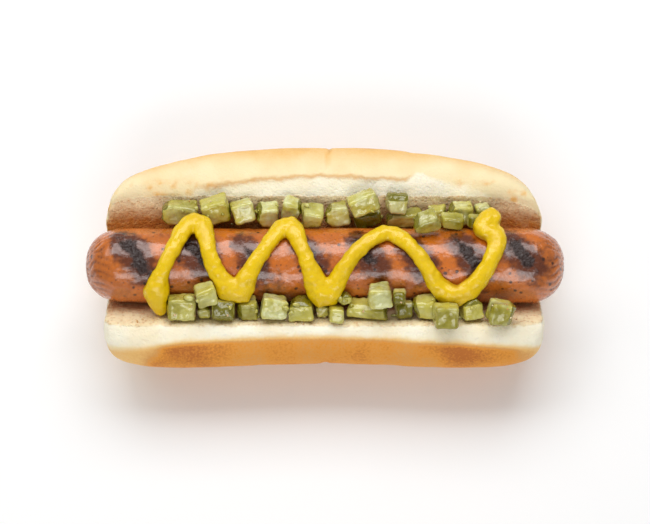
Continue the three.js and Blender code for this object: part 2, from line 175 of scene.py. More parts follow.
class SausageSettings(bpy.types.PropertyGroup):
    casing: colour_property("Casing", "Grilled casing", (214, 113, 18))
    # Rosy casing: less browned casing, and also a painted sheen of the front lamp on the front and lower
    # side.
    rosy: colour_property("Rosy casing", "Casing that the fire browned less", (208, 119, 52))
    # Deep brown is the real scorch round the grill marks, and also painted shade in the folds at the tips.
    deep: colour_property("Deep brown", "Casing round the grill marks and in the folds", (94, 40, 9))
    char: colour_property("Char", "Middle of a grill mark", (40, 16, 9))
    grain: length_property("Mesh size", "Spacing of the points on the sausage", 0.0007)
    smoothing: smoothing_property(12)
    mark_length: length_property("Mark length", "Length of a grill mark round the sausage", 0.0172)
    mark_width: length_property("Mark width", "Width of a grill mark", 0.0072)
    folds: IntProperty(name="Folds", description="Folds of casing at each tip", min=0, default=24)


class MustardSettings(bpy.types.PropertyGroup):
    yellow: colour_property("Mustard", "Mustard", (236, 198, 0))
    # Deeper mustard: random deeper patches, and painted shade on the sides and underside of the bead.
    warm: colour_property("Deep mustard", "Mustard in the creases of the bead", (196, 152, 0))
    grain: length_property("Mesh size", "Spacing of the points on the bead", 0.0005)
    smoothing: smoothing_property(10)


class PickleSettings(bpy.types.PropertyGroup):
    flesh: colour_property("Flesh", "Cut flesh", (202, 192, 84))
    # Clear flesh: glassy flesh near the seeds, and also the colour of the painted shade on a piece's sides
    # and underside.
    clear: colour_property("Clear flesh", "Glassy flesh near the seeds", (146, 136, 16))
    pale: colour_property("Pale flesh", "Palest flesh", (222, 223, 162))
    skin: colour_property("Skin", "Outer skin", (122, 116, 18))
    grain: length_property("Mesh size", "Spacing of the points on a piece", 0.00042)
    smoothing: smoothing_property(2)
    seed: IntProperty(name="Seed", description="Picks other tapers and hearts for the pieces", default=41)


class BitSettings(bpy.types.PropertyGroup):
    shreds: IntProperty(name="Shreds", description="Small shreds of pickle", min=0, default=26)
    crumbs: IntProperty(name="Crumbs", description="Crumbs of bread", min=0, default=40)
    seed: IntProperty(name="Seed", description="Picks another scatter", default=5)


class StageSettings(bpy.types.PropertyGroup):
    floor: colour_property("Floor", "Plain floor", (250, 250, 250))
    floor_size: length_property("Floor size", "Length of each side of the floor", 6)
    daylight: FloatProperty(name="Daylight", description="Even light from all round", min=0, default=0.32)
    elevation: FloatProperty(
        name="Camera elevation",
        description="How steeply the camera looks down",
        subtype="ANGLE",
        default=math.radians(70),
    )
    lens: FloatProperty(name="Lens", description="Focal length in millimetres", min=10, default=135)
    span: length_property("Width in view", "How much of the scene the picture is wide", 0.225)


# Handling of pieces

def pick(*pieces):
    """Selects these pieces and nothing else; the first is the one that is worked on."""
    bpy.ops.object.select_all(action="DESELECT")
    for piece in pieces:
        piece.select_set(True)
    bpy.context.view_layer.objects.active = pieces[0]


def copy_of(node, name):
    """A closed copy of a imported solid, with its loose triangles merged, ready to be shaped."""
    piece = bpy.data.objects.new(name, frame["nodes"][node].data.copy())
    bpy.context.scene.collection.objects.link(piece)
    piece.data.materials.clear()
    pick(piece)
    bpy.ops.object.mode_set(mode="EDIT")
    bpy.ops.mesh.select_all(action="SELECT")
    bpy.ops.mesh.remove_doubles(threshold=0.000001)
    bpy.ops.object.mode_set(mode="OBJECT")
    return piece


def finish_with(piece, kind, **settings):
    """Adds a modifier to a piece, sets it and applies it."""
    pick(piece)
    modifier = piece.modifiers.new(kind.title(), kind)
    for key, value in settings.items():
        setattr(modifier, key, value)
    bpy.ops.object.modifier_apply(modifier=modifier.name)


def even_mesh(piece, settings):
    """Gives a piece an even skin of small faces and takes the flats off it."""
    finish_with(piece, "REMESH", mode="VOXEL", voxel_size=settings.grain, adaptivity=0)
    finish_with(piece, "SMOOTH", factor=0.5, iterations=settings.smoothing)


def points_of(piece):
    flat = np.empty(len(piece.data.vertices) * 3)
    piece.data.vertices.foreach_get("co", flat)
    return flat.reshape(-1, 3)


def normals_of(piece):
    flat = np.empty(len(piece.data.vertices) * 3)
    piece.data.vertices.foreach_get("normal", flat)
    return flat.reshape(-1, 3)


def move_points(piece, points):
    piece.data.vertices.foreach_set("co", np.ascontiguousarray(points).ravel())
    piece.data.update()


def push(piece, amounts):
    """Moves each point of a piece along its own normal, outwards where the amount is positive."""
    move_points(piece, points_of(piece) + normals_of(piece) * np.asarray(amounts)[:, None])


def paint(piece, name, values):
    """Keeps one number for each point of a piece, for its material to read."""
    layer = piece.data.attributes.new(name, "FLOAT", "POINT")
    layer.data.foreach_set("value", np.asarray(values, dtype=np.float32))


def lumps(points, size, seed, octaves=2):
    """Smooth random values, mostly from -1 to 1, one for each point; size is the width of a lump."""
    away = Vector((seed * 17.3, seed * -9.1, seed * 5.7))
    return np.array([noise.fractal(Vector(p) / size + away, 1.0, 2.0, octaves) for p in points])


def ease(low, high, values):
    """Rises smoothly from 0 at low to 1 at high."""
    share = np.clip((values - low) / (high - low), 0, 1)
    return share * share * (3 - 2 * share)


def mix(first, second, share):
    """Goes from the first value to the second as the share goes from 0 to 1."""
    return first + (second - first) * share


def along_table(table, places):
    return np.interp(places, [row[0] for row in table], [row[1] for row in table])


def dress(piece, material, slot, *nodes):
    """Gives a finished piece its material, its body and the solids that it stands for; the slot is not used.
    """
    piece.data.materials.clear()
    piece.data.materials.append(material)
    for face in piece.data.polygons:
        face.use_smooth = True
    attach(piece, BODY)
    if nodes:
        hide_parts(*nodes)


# Shader wiring

# The places of a mix node's sockets: its share, its first and its second value, and what it puts out.
MIX_NUMBERS, MIX_NUMBER_OUT = (0, 2, 3), 0
MIX_COLOURS, MIX_COLOUR_OUT = (0, 6, 7), 2
COLUMN_WIDTH = 220
ROW_HEIGHT = 260


class Wiring:
    """Adds nodes to one shader tree, in columns from left to right, and joins them."""

    def __init__(self, tree):
        self.tree = tree
        self.rows = {}

    def add(self, kind, column, inputs=None, **settings):
        """Places a node below the last one in its column, and sets and feeds it."""
        node = self.tree.nodes.new(kind)
        row = self.rows.get(column, 0)
        self.rows[column] = row + 1
        node.location = (column * COLUMN_WIDTH, -row * ROW_HEIGHT)
        for key, value in settings.items():
            setattr(node, key, value)
        for key, value in (inputs or {}).items():
            self.feed(node.inputs[key], value)
        return node

    def feed(self, socket, value):
        """Links a socket to another node's output, or sets it to a number, a colour or a place."""
        if isinstance(value, bpy.types.NodeSocket):
            self.tree.links.new(value, socket)
        elif hasattr(socket.default_value, "__len__") and len(socket.default_value) == 4 and len(value) == 3:
            socket.default_value = (*value, 1)
        else:
            socket.default_value = value

    def math(self, column, operation, first, second=None, third=None, clamp=False):
        node = self.add("ShaderNodeMath", column, operation=operation, use_clamp=clamp)
        for socket, value in zip(node.inputs, (first, second, third)):
            if value is not None:
                self.feed(socket, value)
        return node.outputs[0]

    def span(self, column, value, low, high, to_low=0.0, to_high=1.0, smooth=True):
        """Maps a value from one range to another and holds it at both ends, eased unless told not to be."""
        node = self.add("ShaderNodeMapRange", column, clamp=True)
        node.interpolation_type = "SMOOTHSTEP" if smooth else "LINEAR"
        for socket, number in zip(node.inputs, (value, low, high, to_low, to_high)):
            self.feed(socket, number)
        return node.outputs["Result"]

    def blend(self, column, share, first, second):
        """Goes from one colour to another as the share goes from 0 to 1."""
        node = self.add("ShaderNodeMix", column, data_type="RGBA")
        for socket, value in zip(MIX_COLOURS, (share, first, second)):
            self.feed(node.inputs[socket], value)
        return node.outputs[MIX_COLOUR_OUT]

    def between(self, column, share, first, second):
        """Goes from one number to another as the share goes from 0 to 1."""
        node = self.add("ShaderNodeMix", column, data_type="FLOAT")
        for socket, value in zip(MIX_NUMBERS, (share, first, second)):
            self.feed(node.inputs[socket], value)
        return node.outputs[MIX_NUMBER_OUT]

    def attribute(self, name):
        """A number that the piece keeps for each of its points."""
        node = self.add("ShaderNodeAttribute", 0, attribute_name=name, attribute_type="GEOMETRY")
        return node.outputs["Fac"]

    def waves(self, column, place, scale, detail):
        """Plain noise, from 0 to 1."""
        node = self.add("ShaderNodeTexNoise", column, {"Vector": place, "Scale": scale, "Detail": detail})
        return node.outputs["Fac"]

    def raise_surface(self, shader, height, strength, distance):
        """Feeds a height to the shader as a bump."""
        bump = self.add("ShaderNodeBump", 8, {"Height": height, "Strength": strength, "Distance": distance})
        self.feed(shader.inputs["Normal"], bump.outputs["Normal"])

    def group(self, column, tree, **values):
        """Places a shared effect with its own values, and gives what it puts out."""
        node = self.add("ShaderNodeGroup", column, node_tree=tree)
        for key, value in values.items():
            self.feed(node.inputs[key.replace("_", " ").title()], value)
        return node.outputs[0]


def new_group(name, values, output):
    """An empty shader node group with a place, some named numbers and one output."""
    tree = bpy.data.node_groups.new(name, "ShaderNodeTree")
    tree.interface.new_socket("Place", in_out="INPUT", socket_type="NodeSocketVector")
    for label, value in values.items():
        socket = tree.interface.new_socket(label, in_out="INPUT", socket_type="NodeSocketFloat")
        socket.default_value = value
    tree.interface.new_socket(output, in_out="OUTPUT", socket_type="NodeSocketFloat")
    wiring = Wiring(tree)
    return tree, wiring, wiring.add("NodeGroupInput", 0), wiring.add("NodeGroupOutput", 5)


def blotch_group():
    """Soft patches, from 0 to 1, for uneven baking, browning and ripeness."""
    tree, wiring, into, out = new_group("Blotches", {"Scale": 60, "Contrast": 0.2}, "Mask")
    patch = wiring.waves(1, into.outputs["Place"], into.outputs["Scale"], 3.0)
    low = wiring.math(2, "SUBTRACT", 0.5, into.outputs["Contrast"])
    high = wiring.math(2, "ADD", 0.5, into.outputs["Contrast"])
    wiring.feed(out.inputs["Mask"], wiring.span(3, patch, low, high))
    return tree


def speck_group():
    """Scattered round specks: a mask that is 1 in each speck and 0 between them."""
    tree, wiring, into, out = new_group("Specks", {"Scale": 400, "Size": 0.25, "Share": 0.5}, "Mask")
    wobble = wiring.add("ShaderNodeTexNoise", 1, {"Vector": into.outputs["Place"], "Scale": 900.0})
    jitter = wiring.add("ShaderNodeVectorMath", 2, operation="MULTIPLY_ADD")
    wiring.feed(jitter.inputs[0], wobble.outputs["Color"])
    jitter.inputs[1].default_value = (0.0006, 0.0006, 0.0006)
    wiring.feed(jitter.inputs[2], into.outputs["Place"])
    scale = into.outputs["Scale"]
    cells = wiring.add("ShaderNodeTexVoronoi", 2, {"Vector": jitter.outputs[0], "Scale": scale})
    inner = wiring.math(3, "MULTIPLY", into.outputs["Size"], 0.5)
    spot = wiring.span(4, cells.outputs["Distance"], inner, into.outputs["Size"], 1.0, 0.0)
    parts = wiring.add("ShaderNodeSeparateColor", 3, {"Color": cells.outputs["Color"]})
    chosen = wiring.math(4, "LESS_THAN", parts.outputs[0], into.outputs["Share"])
    wiring.feed(out.inputs["Mask"], wiring.math(4, "MULTIPLY", spot, chosen))
    return tree


def relief_group():
    """Fine unevenness for a bump: coarse waves with finer ones over them, from 0 to 1."""
    values = {"Coarse": 200, "Fine": 900, "Fine Share": 0.4}
    tree, wiring, into, out = new_group("Fine relief", values, "Height")
    broad = wiring.waves(1, into.outputs["Place"], into.outputs["Coarse"], 2.0)
    small = wiring.waves(1, into.outputs["Place"], into.outputs["Fine"], 3.0)
    wiring.feed(out.inputs["Height"], wiring.between(3, into.outputs["Fine Share"], broad, small))
    return tree


def effect(name, make):
    """A shared shader effect, built the first time that it is asked for."""
    return bpy.data.node_groups.get(name) or make()


def blotches():
    return effect("Blotches", blotch_group)


def specks():
    return effect("Specks", speck_group)


def relief():
    return effect("Fine relief", relief_group)


def new_material(name):
    """A material with its surface shader, ready to be wired: the wiring, the place, and the shader."""
    material = bpy.data.materials.new(name)
    material.use_nodes = True
    material.node_tree.nodes.clear()
    wiring = Wiring(material.node_tree)
    place = wiring.add("ShaderNodeTexCoord", -1).outputs["Object"]
    shader = wiring.add("ShaderNodeBsdfPrincipled", 9)
    out = wiring.add("ShaderNodeOutputMaterial", 10)
    wiring.feed(out.inputs["Surface"], shader.outputs["BSDF"])
    return material, wiring, place, shader


def bread_material(settings):
    """Bread: open crumb on the cut, fluffy torn sides, and crust from cream to dark brown."""
    material, wiring, place, shader = new_material("Bread")
    cut = wiring.attribute("cut")
    torn = wiring.attribute("torn")
    bake = wiring.attribute("bake")
    shade = wiring.attribute("toasting")

    patches = wiring.group(1, blotches(), place=place, scale=70.0, contrast=0.25)
    mottle = wiring.group(1, blotches(), place=place, scale=1300.0, contrast=0.4)
    frayed = wiring.math(2, "MULTIPLY_ADD", wiring.waves(1, place, 520.0, 3.0), 1.6, -0.8)

    uneven = wiring.math(2, "MULTIPLY_ADD", patches, 0.14, -0.07)
    grainy = wiring.math(2, "MULTIPLY", wiring.math(2, "MULTIPLY_ADD", mottle, 0.27, -0.135), bake)
    browned = wiring.math(3, "ADD", wiring.math(3, "ADD", bake, uneven), grainy)
    baking = wiring.add("ShaderNodeValToRGB", 4, {"Fac": browned})
    colours = (settings.pale, settings.golden, settings.tanned, settings.brown, settings.dark)
    for position in (0.42, 0.6, 0.8):
        baking.color_ramp.elements.new(position)
    for element, colour in zip(baking.color_ramp.elements, colours):
        element.color = (*colour, 1)

    torn_edge = wiring.math(3, "ADD", torn, wiring.math(3, "MULTIPLY", frayed, 0.5))
    is_torn = wiring.span(4, torn_edge, -0.5, 0.6)
    rim = wiring.math(4, "ABSOLUTE", wiring.math(4, "ADD", torn_edge, 0.25))
    rim_mask = wiring.span(5, rim, 0.05, 0.7, 0.6, 0.0)
    rim_shown = wiring.math(5, "MULTIPLY", rim_mask, wiring.attribute("rim"))
    crust = wiring.blend(5, rim_shown, baking.outputs["Color"], tuple(settings.tanned))

    holes = wiring.group(2, specks(), place=place, scale=820.0, size=0.5, share=0.5)
    yellowed = wiring.math(4, "MULTIPLY", patches, 0.65)
    fluffy = wiring.blend(5, yellowed, tuple(settings.torn), tuple(settings.crumb))
    crust_or_torn = wiring.blend(6, is_torn, crust, fluffy)

    # Painted shade: deeper in the cut the crumb is painted towards the toast colour, where the sausage and
    # lip shade it.
    singed = wiring.math(4, "MULTIPLY_ADD", frayed, 0.42, shade, clamp=True)
    toasted = wiring.blend(5, singed, tuple(settings.crumb), tuple(settings.toasted))
    pitted = wiring.blend(6, wiring.math(5, "MULTIPLY", holes, 0.3), toasted, tuple(settings.toasted))
    is_cut = wiring.span(4, wiring.math(3, "ADD", cut, wiring.math(3, "MULTIPLY", frayed, 0.7)), -0.3, 0.3)
    colour = wiring.blend(7, is_cut, crust_or_torn, pitted)
    wiring.feed(shader.inputs["Base Color"], colour)

    open_crumb = wiring.math(5, "MAXIMUM", is_cut, is_torn)
    wiring.feed(shader.inputs["Roughness"], wiring.span(6, open_crumb, 0, 1, 0.58, 0.95, smooth=False))

    crust_relief = wiring.group(4, relief(), place=place, coarse=260.0, fine=1500.0, fine_share=0.45)
    crumb_relief = wiring.group(4, relief(), place=place, coarse=520.0, fine=1500.0, fine_share=0.5)
    pitted_relief = wiring.math(5, "MULTIPLY_ADD", holes, -0.18, crumb_relief)
    open_relief = wiring.span(5, is_cut, 0, 1, 0.45, 0.95, smooth=False)
    sunk = wiring.math(6, "MULTIPLY", pitted_relief, open_relief)
    low_crust = wiring.math(5, "MULTIPLY", crust_relief, 0.5)
    wiring.raise_surface(shader, wiring.between(7, open_crumb, low_crust, sunk), 0.9, 0.0011)
    shader.inputs["Subsurface Weight"].default_value = 0.12
    shader.inputs["Subsurface Radius"].default_value = (1.0, 0.7, 0.4)
    shader.inputs["Subsurface Scale"].default_value = 0.002
    shader.inputs["Specular IOR Level"].default_value = 0.35
    return material


def sausage_material(settings):
    """Grilled casing: mottled brown, charred marks, dark specks, and grease over all of it."""
    material, wiring, place, shader = new_material("Grilled casing")
    char = wiring.attribute("char")
    folded = wiring.attribute("folded")
    rosy = wiring.attribute("rosy")

    patches = wiring.group(1, blotches(), place=place, scale=110.0, contrast=0.16)
    fine = wiring.group(1, blotches(), place=place, scale=600.0, contrast=0.25)
    pepper = wiring.group(1, specks(), place=place, scale=300.0, size=0.24, share=0.6)
    grit = wiring.group(1, specks(), place=place, scale=800.0, size=0.3, share=0.22)

    # The front and lower side is painted rosier: partly less browned casing, partly a painted reflection of
    # the front lamp.
    less_browned = wiring.math(1, "MULTIPLY", rosy, 0.6)
    rosy_share = wiring.math(2, "MULTIPLY_ADD", patches, 0.3, less_browned, clamp=True)
    base = wiring.blend(3, rosy_share, tuple(settings.casing), tuple(settings.rosy))
    uneven = wiring.math(3, "MULTIPLY_ADD", fine, 0.2, wiring.math(2, "MULTIPLY", patches, 0.2))
    mottled = wiring.blend(4, uneven, base, tuple(settings.deep))
    # Painted shade: the troughs of the folds at the tips are painted deep brown.
    creased = wiring.blend(5, wiring.math(4, "MULTIPLY", folded, 0.9), mottled, tuple(settings.deep))
    rough_edge = wiring.math(2, "MULTIPLY_ADD", wiring.waves(1, place, 650.0, 4.0), 1.1, -0.55)
    burnt = wiring.math(3, "ADD", char, rough_edge)
    scorch = wiring.math(4, "MULTIPLY_ADD", patches, 0.5, wiring.math(3, "ADD", burnt, 0.1))
    halo = wiring.span(5, scorch, -0.75, 0.3, 0.0, 0.97)
    black = wiring.span(4, burnt, 0.2, 0.9)
    singed = wiring.blend(6, halo, creased, tuple(settings.deep))
    marked = wiring.blend(7, black, singed, tuple(settings.char))
    faint_grit = wiring.math(4, "MULTIPLY", grit, 0.55)
    dots = wiring.math(5, "MAXIMUM", wiring.math(4, "MULTIPLY", pepper, 0.85), faint_grit)
    wiring.feed(shader.inputs["Base Color"], wiring.blend(8, dots, marked, tuple(settings.char)))

    greasy = wiring.span(5, fine, 0, 1, 0.17, 0.33, smooth=False)
    wiring.feed(shader.inputs["Roughness"], wiring.math(6, "MULTIPLY_ADD", black, 0.12, greasy))
    skin = wiring.group(4, relief(), place=place, coarse=300.0, fine=900.0, fine_share=0.45)
    crusty = wiring.math(5, "MULTIPLY", black, fine)
    height = wiring.math(6, "MULTIPLY_ADD", crusty, 0.9, skin)
    wiring.raise_surface(shader, height, 0.55, 0.0009)
    wiring.feed(shader.inputs["Coat Weight"], wiring.span(5, black, 0, 1, 0.7, 0.0, smooth=False))
    shader.inputs["Coat Roughness"].default_value = 0.11
    shader.inputs["Subsurface Weight"].default_value = 0.05
    shader.inputs["Subsurface Radius"].default_value = (1.0, 0.45, 0.2)
    shader.inputs["Subsurface Scale"].default_value = 0.002
    return material


def mustard_material(settings):
    """Smooth yellow mustard with painted shade on its sides and underside, deeper patches and a few pinprick
    bubbles.
    """
    material, wiring, place, shader = new_material("Mustard")
    patches = wiring.group(1, blotches(), place=place, scale=130.0, contrast=0.2)
    bubbles = wiring.group(1, specks(), place=place, scale=700.0, size=0.2, share=0.12)
    edge = wiring.attribute("edge")
    # Painted shade where the bead turns towards the sausage, with random deeper patches over it.
    deep = wiring.math(2, "MULTIPLY_ADD", edge, 0.85, wiring.math(2, "MULTIPLY", patches, 0.15), clamp=True)
    colour = wiring.blend(3, deep, tuple(settings.yellow), tuple(settings.warm))
    wiring.feed(shader.inputs["Base Color"], colour)
    wiring.feed(shader.inputs["Roughness"], wiring.span(3, patches, 0, 1, 0.24, 0.36, smooth=False))
    smooth = wiring.group(2, relief(), place=place, coarse=380.0, fine=1000.0, fine_share=0.3)
    height = wiring.math(4, "MULTIPLY_ADD", bubbles, -0.25, smooth)
    wiring.raise_surface(shader, height, 0.6, 0.0008)
    shader.inputs["Specular IOR Level"].default_value = 0.45
    shader.inputs["Coat Weight"].default_value = 0.18
    shader.inputs["Coat Roughness"].default_value = 0.12
    shader.inputs["Subsurface Weight"].default_value = 0.12
    shader.inputs["Subsurface Radius"].default_value = (1.0, 0.7, 0.1)
    shader.inputs["Subsurface Scale"].default_value = 0.0025
    return material


def pickle_material(settings):
    """Wet pickle: streaky glassy flesh with painted shade low and on the sides of each piece, and darker
    skin on some faces.
    """
    material, wiring, place, shader = new_material("Pickle")
    skin = wiring.attribute("skin")
    heart = wiring.attribute("heart")
    ripe = wiring.attribute("ripe")
    patches = wiring.group(1, blotches(), place=place, scale=210.0, contrast=0.16)
    streaks = wiring.group(1, blotches(), place=place, scale=650.0, contrast=0.25)
    dots = wiring.group(1, specks(), place=place, scale=650.0, size=0.4, share=0.4)

    pale_share = wiring.math(2, "MULTIPLY", patches, ripe, clamp=True)
    flesh = wiring.blend(3, pale_share, tuple(settings.flesh), tuple(settings.pale))
    veins = wiring.math(2, "MULTIPLY", streaks, 0.25)
    # The heart share holds glassy flesh and painted shade: paler tops, darker sides and undersides.
    glassy_share = wiring.math(3, "MULTIPLY_ADD", heart, 0.85, veins, clamp=True)
    glassy = wiring.blend(4, glassy_share, flesh, tuple(settings.clear))
    frayed = wiring.math(2, "MULTIPLY_ADD", wiring.waves(1, place, 700.0, 3.0), 0.6, -0.3)
    skin_edge = wiring.math(3, "ADD", skin, frayed)
    on_skin = wiring.span(4, skin_edge, 0.35, 0.65)
    warty = wiring.math(4, "MULTIPLY", dots, 0.45)
    peel = wiring.blend(5, warty, tuple(settings.skin), tuple(settings.clear))
    wiring.feed(shader.inputs["Base Color"], wiring.blend(6, on_skin, glassy, peel))
    wiring.feed(shader.inputs["Roughness"], wiring.span(4, streaks, 0, 1, 0.14, 0.32, smooth=False))
    fibre = wiring.group(3, relief(), place=place, coarse=330.0, fine=1100.0, fine_share=0.35)
    height = wiring.math(5, "MULTIPLY_ADD", wiring.math(4, "MULTIPLY", dots, on_skin), 0.4, fibre)
    wiring.raise_surface(shader, height, 0.4, 0.0006)
    shader.inputs["Coat Weight"].default_value = 0.6
    shader.inputs["Coat Roughness"].default_value = 0.06
    shader.inputs["Subsurface Weight"].default_value = 0.3
    shader.inputs["Subsurface Radius"].default_value = (1.0, 0.9, 0.25)
    shader.inputs["Subsurface Scale"].default_value = 0.0025
    return material


def from_cut(across, up):
    """How deep each place lies below the cut's surface, and how far up the cut's straight face."""
    side = np.abs(across)
    climb = (side - FOOT_REACH) * FACE_RUN + (up - FOOT_RISE) * FACE_CLIMB
    off_face = (side - FOOT_REACH) * FACE_CLIMB - (up - FOOT_RISE) * FACE_RUN
    return np.where(climb > 0, off_face, np.hypot(across, up) - SEAT_RADIUS), climb


class BunPoints:
    """Where each point of the bun lies, in millimetres, and what its crust and crumb are like there."""

    def __init__(self, points):
        self.points = points
        self.along = points[:, 0] / MM
        self.across = (points[:, 1] - AXIS.y) / MM
        self.up = (points[:, 2] - AXIS.z) / MM
        depth, climb = from_cut(self.across * MM, self.up * MM)
        self.depth = depth / MM
        self.up_face = climb / FACE_LENGTH
        self.to_lip = (FACE_LENGTH - climb) / MM
        self.dome = ease(-HINGE_BLEND, HINGE_BLEND, self.across)
        self.drop = self.dome * along_table(DOME_LIP_DROP, self.along)
        self.broad = lumps(points, 26 * MM, 5)
        self.middling = lumps(points, 8 * MM, 6)

    def find_edges(self):
        """How far inside the torn sides and the cut each point is."""
        round_loaf = np.degrees(np.arctan2(self.up + 10, np.abs(self.across)))
        off_hinge = ease(-64, -34, round_loaf) + ease(60, 74, np.abs(self.along))
        wobble = lumps(self.points, 6 * MM, 3) * 0.55 + lumps(self.points, 2.2 * MM, 4, 1) * 0.25
        on_flat = along_table(FLAT_TORN_EDGE, self.along)
        on_dome = along_table(DOME_TORN_EDGE, self.along)
        self.border = mix(on_flat, on_dome, self.dome)
        torn = self.border - self.depth + wobble * mix(1, 0.7, self.dome)
        torn = np.maximum(torn, (0.45 - off_hinge) * 6 + wobble)
        self.torn = torn * mix(0.55, 1, self.dome)
        self.cut = np.minimum(self.to_lip + 0.2 - self.drop, 0.7 - self.depth) + 0.6 * wobble
        self.rim = self.dome * ease(-48, -38, self.along) * ease(31, 27, self.along)

    def find_creases(self):
        """The crack over the dome's middle, and the notch in the flat crust under it."""
        crease_at = 1.4 + 0.9 * lumps(self.points * [0, 1, 1], 6 * MM, 11)
        crease = np.exp(-(((self.along - crease_at) / 0.75) ** 2))
        self.crease = crease * ease(4, 7, self.depth) * ease(26, 18, self.depth)
        notch_at = 0.3 + 0.7 * lumps(self.points * [0, 1, 1], 7 * MM, 12)
        self.notch = np.exp(-(((self.along - notch_at) / 1.1) ** 2)) * ease(9, 14, self.depth)

    def find_baking(self):
        """How brown the crust is, and how much toast and painted shade the cut takes, both from 0 to 1."""
        depth = self.depth
        near_end = ease(46, 74, np.abs(self.along))
        on_dome = 0.5 * ease(3, 16, depth) + 0.16 * ease(14, 26, depth) - 0.22 * ease(30, 44, depth)
        on_dome += 0.32 * near_end * ease(0.5, 7, depth)
        stains = np.maximum(0, lumps(self.points, 3 * MM, 13) - 0.1) * ease(3, 1, depth)
        # Painted shade: the crust is painted browner along the crack over the dome; the stains are real.
        on_dome += 0.18 * self.crease + 0.7 * stains

        inked = ease(-0.6, 2.8, depth - self.border)
        strayed = self.along + 5 * self.middling + 3 * self.broad
        edge_on = ease(-66, -53, strayed) * ease(76, 63, strayed)
        patches = np.exp(-(((strayed + 45) / 14) ** 2)) + np.exp(-(((strayed - 47) / 13) ** 2))
        patches *= ease(17, 3, depth - self.border + 3 * self.middling)
        on_flat = 0.02 + edge_on * inked * (0.74 + 0.2 * patches) + (1 - edge_on) * 0.4 * inked
        self.bake = mix(on_flat, on_dome, self.dome) + 0.07 * self.broad + 0.05 * self.middling

        # Deeper in the cut is painted darker: partly toast, partly painted shade under the sausage and the
        # domed lip.
        toasted_dome = 0.08 + 0.92 * ease(1.02, 0.45, self.up_face)
        toasted_flat = 0.02 + 0.55 * ease(0.65, 0.1, self.up_face)
        toasting = np.where(self.across > 0, toasted_dome, toasted_flat)
        self.toasting = np.clip(toasting + 0.15 * self.middling, 0, 1)

    def relief(self):
        """How far each point stands out: the torn edge's curl, the crumb, the crust and the creases."""
        crust_step = 0.34 * ease(0.5, -0.9, self.torn) * ease(0, 1, self.depth) * self.rim
        curled_lip = 0.3 * np.exp(-(((self.torn + 0.7) / 0.6) ** 2)) * self.rim
        fluff = np.maximum(mix(0.9, 0.5, self.dome) * ease(-0.2, 0.6, self.torn), ease(-0.2, 0.3, self.cut))
        crumb = (lumps(self.points, 5 * MM, 7) * 0.25 + lumps(self.points, 2.4 * MM, 8, 3) * 0.25) * fluff
        skin = (lumps(self.points, 18 * MM, 9) * 0.35 + lumps(self.points, 5 * MM, 10) * 0.08) * (1 - fluff)
        grooves = mix(0.45 * self.notch, 0.5 * self.crease, self.dome)
        return crust_step + curled_lip + crumb + skin - grooves

    def rounded_ends(self, points):
        """Lowers the domed half's lip at its ends and draws them out a little."""
        points = points.copy()
        lowered = self.drop * MM * ease(0.3, 1, self.up_face) * ease(11, 1, self.depth)
        points[:, 1] -= lowered * FACE_RUN
        points[:, 2] -= lowered * FACE_CLIMB
        near_end = ease(56, 75, np.abs(self.along))
        longer = DRAWN_OUT * self.dome * ease(0, 0.6, self.up_face) * near_end
        points[:, 0] += longer * np.sign(self.along)
        points[:, 2] = np.maximum(points[:, 2], 0)
        return points


class HOTDOG_OT_bun(bpy.types.Operator):
    """Shapes and bakes the bun: two crusts, torn sides and the open cut"""

    bl_idname = "hotdog.bun"
    bl_label = "Bun"

    def execute(self, context):
        settings = context.scene.hotdog_bun
        bun = copy_of("bun", "baked_bun")
        even_mesh(bun, settings)
        loaf = BunPoints(points_of(bun))
        loaf.find_edges()
        loaf.find_creases()
        loaf.find_baking()
        push(bun, loaf.relief() * MM)
        move_points(bun, loaf.rounded_ends(points_of(bun)))
        for name in ("cut", "torn", "bake", "rim", "toasting"):
            paint(bun, name, getattr(loaf, name))
        dress(bun, bread_material(settings), "bread", "bun")
        return {"FINISHED"}


def charring(along, arc, settings):
    """How burnt each place on the casing is: over 0 in a grill mark, down to -1.3 away from them."""
    char = np.full(len(along), UNBURNT)
    for number, (place, strength) in enumerate(GRILL_MARKS):
        middle = (-0.6 + 0.8 * math.sin(number * 2.1)) * MM
        lean = (arc - middle) * math.cos(MARK_SLANT) - (along - place * MM) * math.sin(MARK_SLANT)
        beside = (arc - middle) * math.sin(MARK_SLANT) + (along - place * MM) * math.cos(MARK_SLANT)
        wide = settings.mark_width / 2 * (1 + 0.12 * math.sin(number * 1.7))
        reach = settings.mark_length / 2 * (1 + 0.1 * math.cos(number * 2.9))
        mark = 0.3 + 0.95 * strength - ((lean / reach) ** 4 + (beside / wide) ** 2) ** 0.5 * 1.1
        scorch = 0.1 - (((lean + 4 * MM) / reach / 1.2) ** 2 + (beside / wide / 1.5) ** 2) ** 0.5 * 0.9
        char = np.maximum(char, np.maximum(mark, scorch))
    return char


